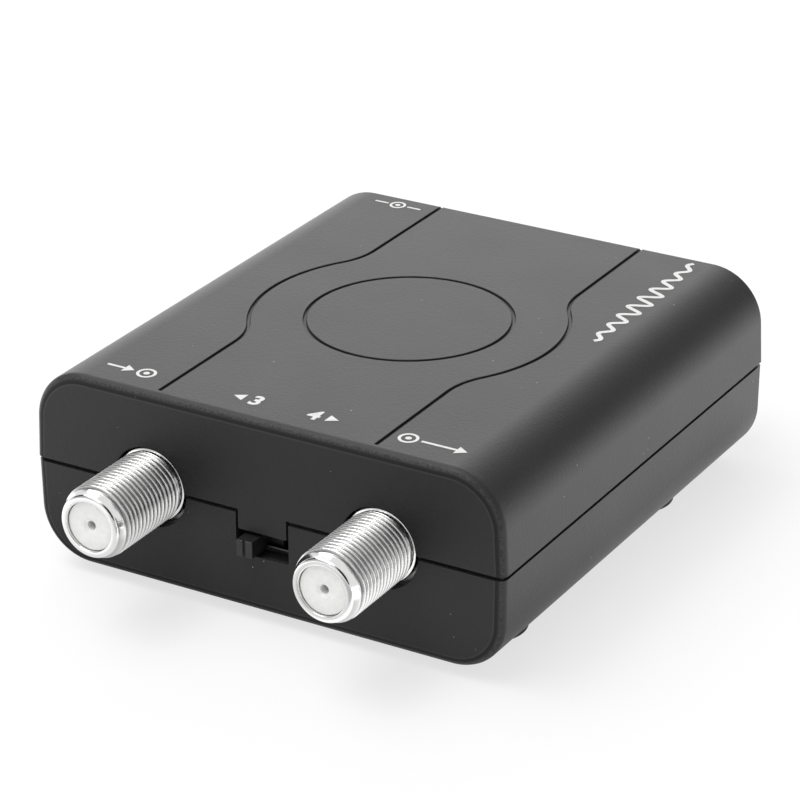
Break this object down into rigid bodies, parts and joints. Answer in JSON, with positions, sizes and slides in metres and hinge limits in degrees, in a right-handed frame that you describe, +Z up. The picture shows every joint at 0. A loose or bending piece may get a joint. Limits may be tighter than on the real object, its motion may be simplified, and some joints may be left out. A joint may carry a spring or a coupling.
{
  "type": "rf modulator",
  "caption": "Flat black plastic box with rounded long edges, threaded coax connectors and a channel switch on its front, phono and power sockets at its back.",
  "frame": {"origin": "under the middle of the whole part's box, on the plane of the feet's undersides", "axes": "+Z up, +X to the right seen from the front, +Y to the back; the coax connectors point to -Y"},
  "size_m": [0.0674, 0.0936, 0.0276],
  "materials": {
    "case_plastic": "matte black, fine grained",
    "rubber": "matte black",
    "screw_steel": "zinc plated",
    "nickel": "nickel plated, bright",
    "tinplate": "tinned sheet",
    "board": "green solder mask",
    "white_plastic": "white insulator",
    "contact_metal": "plated spring metal",
    "black_plastic": "satin black",
    "brown_board": "phenolic sheet",
    "yellow_plastic": "yellow insulator",
    "red_plastic": "red insulator",
    "chip_plastic": "moulded package",
    "choke_body": "lacquered",
    "ceramic": "dipped ceramic",
    "cap_sleeve": "shrink sleeve",
    "resistor_body": "lacquered"
  },
  "bodies": {
    "modulator": {"upper_case": "case_plastic", "lower_case": "case_plastic", "case_screws": "screw_steel", "rubber_feet": "rubber", "main_board": "board", "board_screws": "screw_steel", "shield_can": "tinplate", "shield_lid": "tinplate", "shield_divider": "tinplate", "rf_in_barrel": "nickel", "rf_in_insulator": "white_plastic", "rf_in_contact": "contact_metal", "rf_out_barrel": "nickel", "rf_out_insulator": "white_plastic", "rf_out_contact": "contact_metal", "switch_frame": "tinplate", "switch_base": "brown_board", "switch_terminals": "contact_metal", "phono_housing": "black_plastic", "video_sleeve": "nickel", "left_audio_sleeve": "nickel", "right_audio_sleeve": "nickel", "video_insulator": "yellow_plastic", "left_audio_insulator": "white_plastic", "right_audio_insulator": "red_plastic", "phono_contacts": "contact_metal", "power_housing": "black_plastic", "power_pin": "nickel", "power_spring": "contact_metal", "modulator_chip": "chip_plastic", "chip_legs": "tinplate", "crystal": "screw_steel", "rf_chokes": "choke_body", "ceramic_capacitors": "ceramic", "electrolytic_capacitors": "cap_sleeve", "voltage_regulator": "chip_plastic", "regulator_tab": "tinplate", "resistors": "resistor_body", "polarity_diode": "chip_plastic"},
    "channel_switch_slider": {"switch_knob": "black_plastic", "switch_wiper": "contact_metal"}
  },
  "joints": [
    {"name": "channel_switch", "type": "slide", "parent": "modulator", "child": "channel_switch_slider", "axis": [1, 0, 0], "range_m": [0, 0.0031]}
  ]
}
